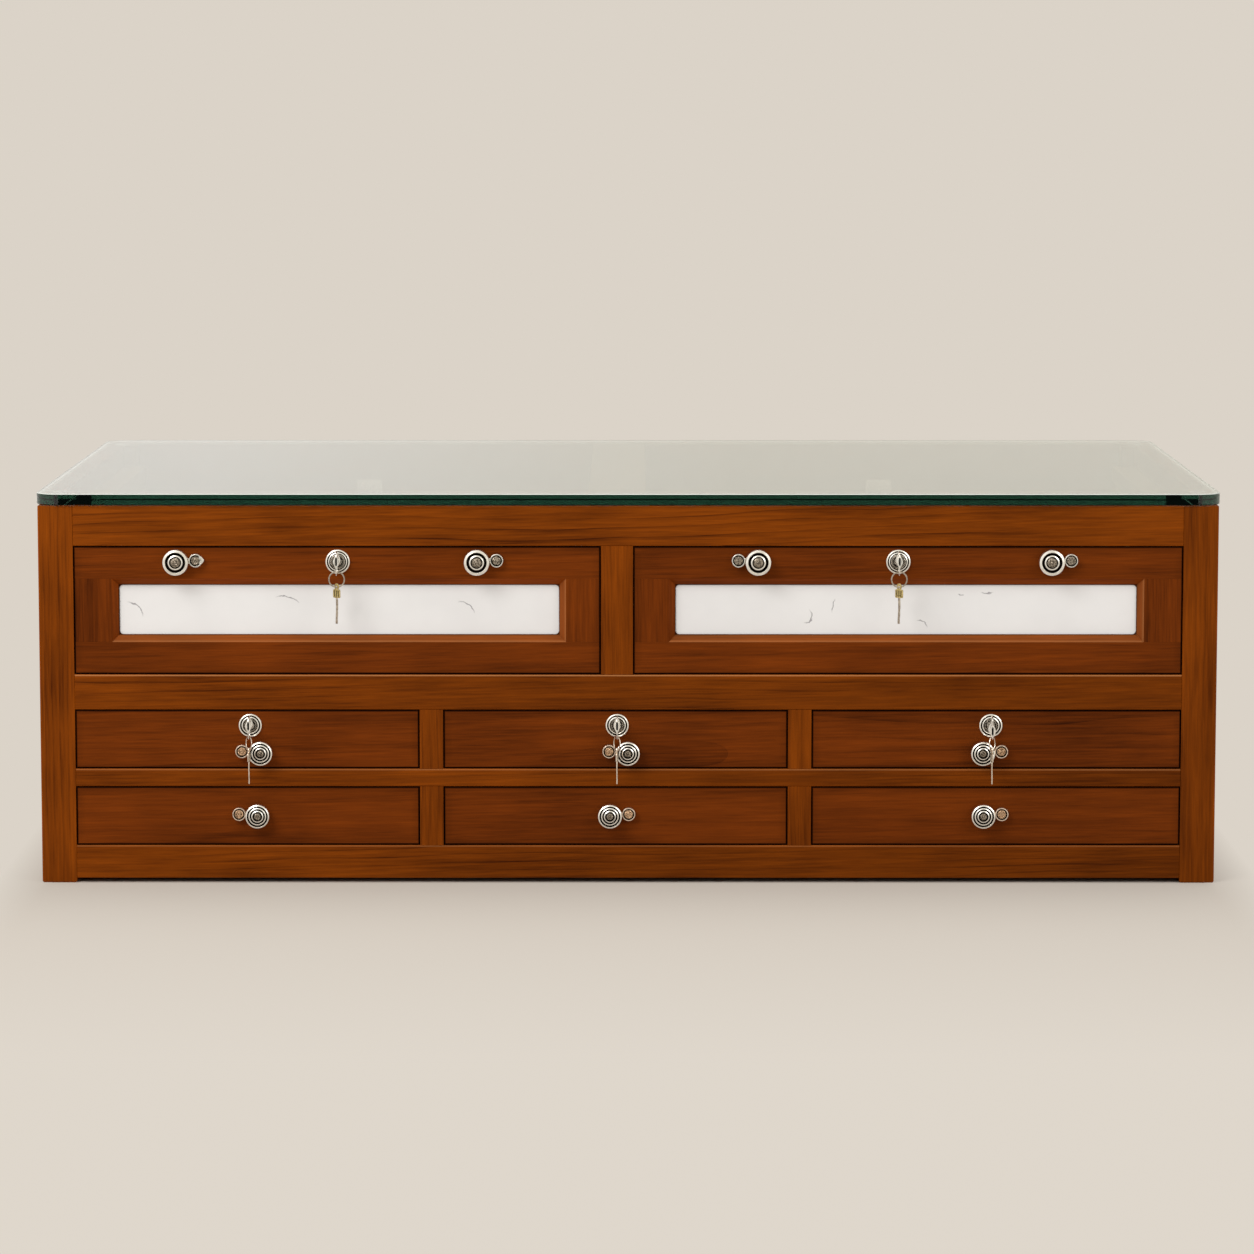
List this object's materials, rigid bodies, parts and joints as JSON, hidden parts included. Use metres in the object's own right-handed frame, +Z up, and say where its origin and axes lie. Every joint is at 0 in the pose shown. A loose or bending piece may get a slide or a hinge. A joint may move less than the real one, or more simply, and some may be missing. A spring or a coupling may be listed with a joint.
{
  "type": "shop counter",
  "caption": "Low wooden display counter with a plate glass top, sliding drawers on ledges, marble panels, turned knobs with swivel tabs, and cam locks with keys on rings.",
  "frame": {"origin": "centre of the overall box at floor level", "axes": "+X to the right seen from the front, -Y towards the person opening the drawers, +Z up"},
  "size_m": [1.226, 0.732, 0.4066],
  "materials": {
    "teak": "satin oiled",
    "drawer_teak": "satin oiled",
    "inner_wood": "sanded, waxed",
    "marble": "polished",
    "nickel": "worn nickel plate",
    "brass": "worn",
    "glass": "polished",
    "rubber": "matt"
  },
  "bodies": {
    "counter": {"corner_posts": "teak", "drawer_guides": "inner_wood", "drawer_ledges": "inner_wood", "front_rails": "teak", "front_stiles": "teak", "glass_pads": "rubber", "glass_top": "glass", "outer_panels": "teak", "outer_rails": "teak"},
    "upper_left_drawer": {"upper_left_box": "inner_wood", "upper_left_front": "drawer_teak", "upper_left_fittings": "nickel", "upper_left_marble": "marble"},
    "upper_left_left_tab": {"upper_left_left_tab": "nickel"},
    "upper_left_right_tab": {"upper_left_right_tab": "nickel"},
    "upper_left_lock_plug": {"upper_left_lock_plug": "nickel"},
    "upper_left_ring": {"upper_left_ring": "nickel"},
    "upper_left_spare_key": {"upper_left_spare_key": "brass"},
    "upper_right_drawer": {"upper_right_box": "inner_wood", "upper_right_front": "drawer_teak", "upper_right_fittings": "nickel", "upper_right_marble": "marble"},
    "upper_right_left_tab": {"upper_right_left_tab": "nickel"},
    "upper_right_right_tab": {"upper_right_right_tab": "nickel"},
    "upper_right_lock_plug": {"upper_right_lock_plug": "nickel"},
    "upper_right_ring": {"upper_right_ring": "nickel"},
    "upper_right_spare_key": {"upper_right_spare_key": "brass"},
    "row1_left_drawer": {"row1_left_box": "inner_wood", "row1_left_front": "drawer_teak", "row1_left_fittings": "nickel"},
    "row1_left_tab": {"row1_left_tab": "nickel"},
    "row1_left_lock_plug": {"row1_left_lock_plug": "nickel"},
    "row1_left_ring": {"row1_left_ring": "nickel"},
    "row1_left_spare_key": {"row1_left_spare_key": "brass"},
    "row1_middle_drawer": {"row1_middle_box": "inner_wood", "row1_middle_front": "drawer_teak", "row1_middle_fittings": "nickel"},
    "row1_middle_tab": {"row1_middle_tab": "nickel"},
    "row1_middle_lock_plug": {"row1_middle_lock_plug": "nickel"},
    "row1_middle_ring": {"row1_middle_ring": "nickel"},
    "row1_middle_spare_key": {"row1_middle_spare_key": "brass"},
    "row1_right_drawer": {"row1_right_box": "inner_wood", "row1_right_front": "drawer_teak", "row1_right_fittings": "nickel"},
    "row1_right_tab": {"row1_right_tab": "nickel"},
    "row1_right_lock_plug": {"row1_right_lock_plug": "nickel"},
    "row1_right_ring": {"row1_right_ring": "nickel"},
    "row1_right_spare_key": {"row1_right_spare_key": "brass"},
    "row2_left_drawer": {"row2_left_box": "inner_wood", "row2_left_front": "drawer_teak", "row2_left_fittings": "nickel"},
    "row2_left_tab": {"row2_left_tab": "nickel"},
    "row2_middle_drawer": {"row2_middle_box": "inner_wood", "row2_middle_front": "drawer_teak", "row2_middle_fittings": "nickel"},
    "row2_middle_tab": {"row2_middle_tab": "nickel"},
    "row2_right_drawer": {"row2_right_box": "inner_wood", "row2_right_front": "drawer_teak", "row2_right_fittings": "nickel"},
    "row2_right_tab": {"row2_right_tab": "nickel"}
  },
  "joints": [
    {"name": "upper_left_slide", "type": "slide", "parent": "counter", "child": "upper_left_drawer", "axis": [0, -1, 0], "range_m": [0, 0.591]},
    {"name": "upper_left_left_tab_swivel", "type": "hinge", "parent": "upper_left_drawer", "child": "upper_left_left_tab", "pos_m": [-0.467, -0.337, 0.3362], "axis": [0, 1, 0], "range_deg": [0, 188]},
    {"name": "upper_left_right_tab_swivel", "type": "hinge", "parent": "upper_left_drawer", "child": "upper_left_right_tab", "pos_m": [-0.1562, -0.337, 0.3362], "axis": [0, 1, 0], "range_deg": [0, 188]},
    {"name": "upper_left_lock_turn", "type": "hinge", "parent": "upper_left_drawer", "child": "upper_left_lock_plug", "pos_m": [-0.3, -0.337, 0.3362], "axis": [0, 1, 0], "range_deg": [0, 90]},
    {"name": "upper_left_ring_swing", "type": "hinge", "parent": "upper_left_lock_plug", "child": "upper_left_ring", "pos_m": [-0.3, -0.358, 0.32775], "axis": [-1, 0, 0], "range_deg": [-12, 60]},
    {"name": "upper_left_spare_key_swing", "type": "hinge", "parent": "upper_left_ring", "child": "upper_left_spare_key", "pos_m": [-0.3, -0.358, 0.31165], "axis": [-1, 0, 0], "range_deg": [-12, 60]},
    {"name": "upper_right_slide", "type": "slide", "parent": "counter", "child": "upper_right_drawer", "axis": [0, -1, 0], "range_m": [0, 0.591]},
    {"name": "upper_right_left_tab_swivel", "type": "hinge", "parent": "upper_right_drawer", "child": "upper_right_left_tab", "pos_m": [0.1344, -0.337, 0.3362], "axis": [0, -1, 0], "range_deg": [0, 188]},
    {"name": "upper_right_right_tab_swivel", "type": "hinge", "parent": "upper_right_drawer", "child": "upper_right_right_tab", "pos_m": [0.4372, -0.337, 0.3362], "axis": [0, 1, 0], "range_deg": [0, 188]},
    {"name": "upper_right_lock_turn", "type": "hinge", "parent": "upper_right_drawer", "child": "upper_right_lock_plug", "pos_m": [0.2792, -0.337, 0.3362], "axis": [0, 1, 0], "range_deg": [0, 90]},
    {"name": "upper_right_ring_swing", "type": "hinge", "parent": "upper_right_lock_plug", "child": "upper_right_ring", "pos_m": [0.2792, -0.358, 0.32775], "axis": [-1, 0, 0], "range_deg": [-12, 60]},
    {"name": "upper_right_spare_key_swing", "type": "hinge", "parent": "upper_right_ring", "child": "upper_right_spare_key", "pos_m": [0.2792, -0.358, 0.31165], "axis": [-1, 0, 0], "range_deg": [-12, 60]},
    {"name": "row1_left_slide", "type": "slide", "parent": "counter", "child": "row1_left_drawer", "axis": [0, -1, 0], "range_m": [0, 0.591]},
    {"name": "row1_left_tab_swivel", "type": "hinge", "parent": "row1_left_drawer", "child": "row1_left_tab", "pos_m": [-0.381, -0.337, 0.1372], "axis": [0, -1, 0], "range_deg": [0, 188]},
    {"name": "row1_left_lock_turn", "type": "hinge", "parent": "row1_left_drawer", "child": "row1_left_lock_plug", "pos_m": [-0.3919, -0.337, 0.1656], "axis": [0, 1, 0], "range_deg": [0, 90]},
    {"name": "row1_left_ring_swing", "type": "hinge", "parent": "row1_left_lock_plug", "child": "row1_left_ring", "pos_m": [-0.3919, -0.358, 0.15715], "axis": [-0.848, 0.5299, 0], "range_deg": [-2, 50]},
    {"name": "row1_left_spare_key_swing", "type": "hinge", "parent": "row1_left_ring", "child": "row1_left_spare_key", "pos_m": [-0.3919, -0.358, 0.14105], "axis": [-0.4695, 0.8829, 0], "range_deg": [-1, 50]},
    {"name": "row1_middle_slide", "type": "slide", "parent": "counter", "child": "row1_middle_drawer", "axis": [0, -1, 0], "range_m": [0, 0.591]},
    {"name": "row1_middle_tab_swivel", "type": "hinge", "parent": "row1_middle_drawer", "child": "row1_middle_tab", "pos_m": [-0.0002, -0.337, 0.1372], "axis": [0, -1, 0], "range_deg": [0, 188]},
    {"name": "row1_middle_lock_turn", "type": "hinge", "parent": "row1_middle_drawer", "child": "row1_middle_lock_plug", "pos_m": [-0.0113, -0.337, 0.1656], "axis": [0, 1, 0], "range_deg": [0, 90]},
    {"name": "row1_middle_ring_swing", "type": "hinge", "parent": "row1_middle_lock_plug", "child": "row1_middle_ring", "pos_m": [-0.0113, -0.358, 0.15715], "axis": [-0.848, 0.5299, 0], "range_deg": [-2, 50]},
    {"name": "row1_middle_spare_key_swing", "type": "hinge", "parent": "row1_middle_ring", "child": "row1_middle_spare_key", "pos_m": [-0.0113, -0.358, 0.14105], "axis": [-0.4695, 0.8829, 0], "range_deg": [-1, 50]},
    {"name": "row1_right_slide", "type": "slide", "parent": "counter", "child": "row1_right_drawer", "axis": [0, -1, 0], "range_m": [0, 0.591]},
    {"name": "row1_right_tab_swivel", "type": "hinge", "parent": "row1_right_drawer", "child": "row1_right_tab", "pos_m": [0.3677, -0.337, 0.1372], "axis": [0, 1, 0], "range_deg": [0, 188]},
    {"name": "row1_right_lock_turn", "type": "hinge", "parent": "row1_right_drawer", "child": "row1_right_lock_plug", "pos_m": [0.3762, -0.337, 0.1656], "axis": [0, -1, 0], "range_deg": [0, 90]},
    {"name": "row1_right_ring_swing", "type": "hinge", "parent": "row1_right_lock_plug", "child": "row1_right_ring", "pos_m": [0.3762, -0.358, 0.15715], "axis": [-0.848, -0.5299, 0], "range_deg": [-2, 50]},
    {"name": "row1_right_spare_key_swing", "type": "hinge", "parent": "row1_right_ring", "child": "row1_right_spare_key", "pos_m": [0.3762, -0.358, 0.14105], "axis": [-0.4695, -0.8829, 0], "range_deg": [-1, 50]},
    {"name": "row2_left_slide", "type": "slide", "parent": "counter", "child": "row2_left_drawer", "axis": [0, -1, 0], "range_m": [0, 0.591]},
    {"name": "row2_left_tab_swivel", "type": "hinge", "parent": "row2_left_drawer", "child": "row2_left_tab", "pos_m": [-0.3846, -0.337, 0.0714], "axis": [0, -1, 0], "range_deg": [0, 188]},
    {"name": "row2_middle_slide", "type": "slide", "parent": "counter", "child": "row2_middle_drawer", "axis": [0, -1, 0], "range_m": [0, 0.591]},
    {"name": "row2_middle_tab_swivel", "type": "hinge", "parent": "row2_middle_drawer", "child": "row2_middle_tab", "pos_m": [-0.0188, -0.337, 0.0714], "axis": [0, 1, 0], "range_deg": [0, 188]},
    {"name": "row2_right_slide", "type": "slide", "parent": "counter", "child": "row2_right_drawer", "axis": [0, -1, 0], "range_m": [0, 0.591]},
    {"name": "row2_right_tab_swivel", "type": "hinge", "parent": "row2_right_drawer", "child": "row2_right_tab", "pos_m": [0.3687, -0.337, 0.0714], "axis": [0, 1, 0], "range_deg": [0, 188]}
  ]
}
